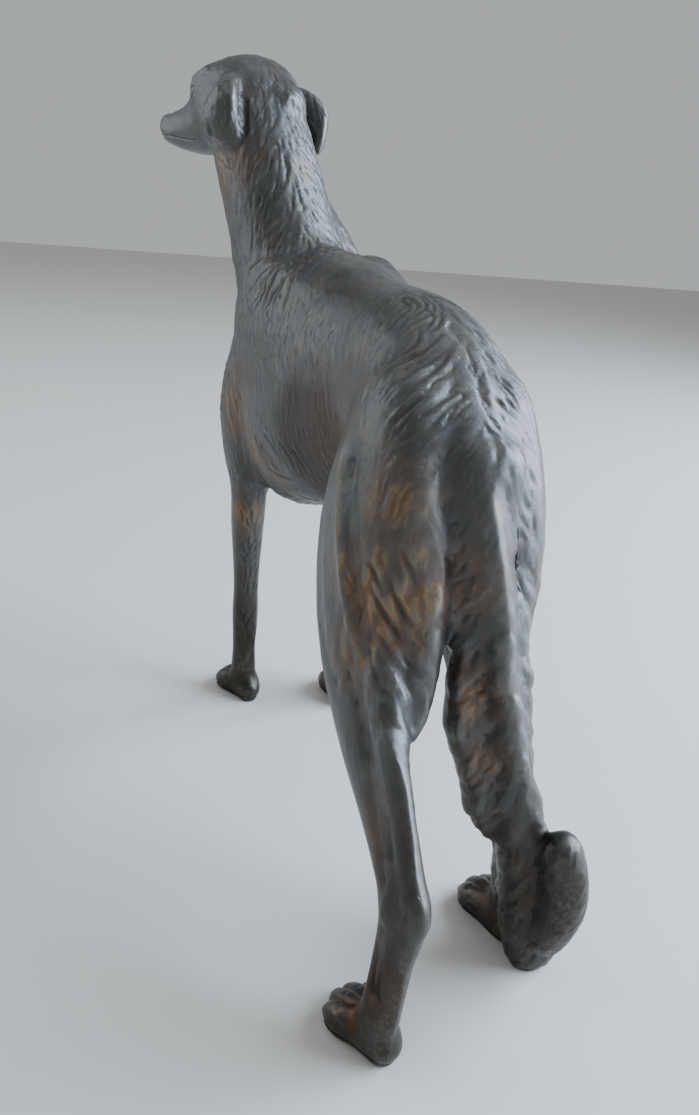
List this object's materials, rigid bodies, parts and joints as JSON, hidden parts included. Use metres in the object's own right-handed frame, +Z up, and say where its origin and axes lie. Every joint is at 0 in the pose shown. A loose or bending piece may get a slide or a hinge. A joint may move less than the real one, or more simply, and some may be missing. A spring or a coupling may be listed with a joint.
{
  "type": "statue_and_sculpture",
  "caption": "Cast bronze-finish borzoi standing alert, head turned to its left, tail hanging to the floor beside its hind leg",
  "frame": {"origin": "centre of the standing figure's footprint box, on the floor", "axes": "+X the way the dog's body faces, +Y to the dog's left, +Z up"},
  "size_m": [0.2932, 0.1006, 0.2955],
  "materials": {
    "bronze": "dark green-brown patina, semi-gloss, with warm rubbed places"
  },
  "bodies": {
    "root": {"borzoi": "bronze"}
  },
  "joints": []
}
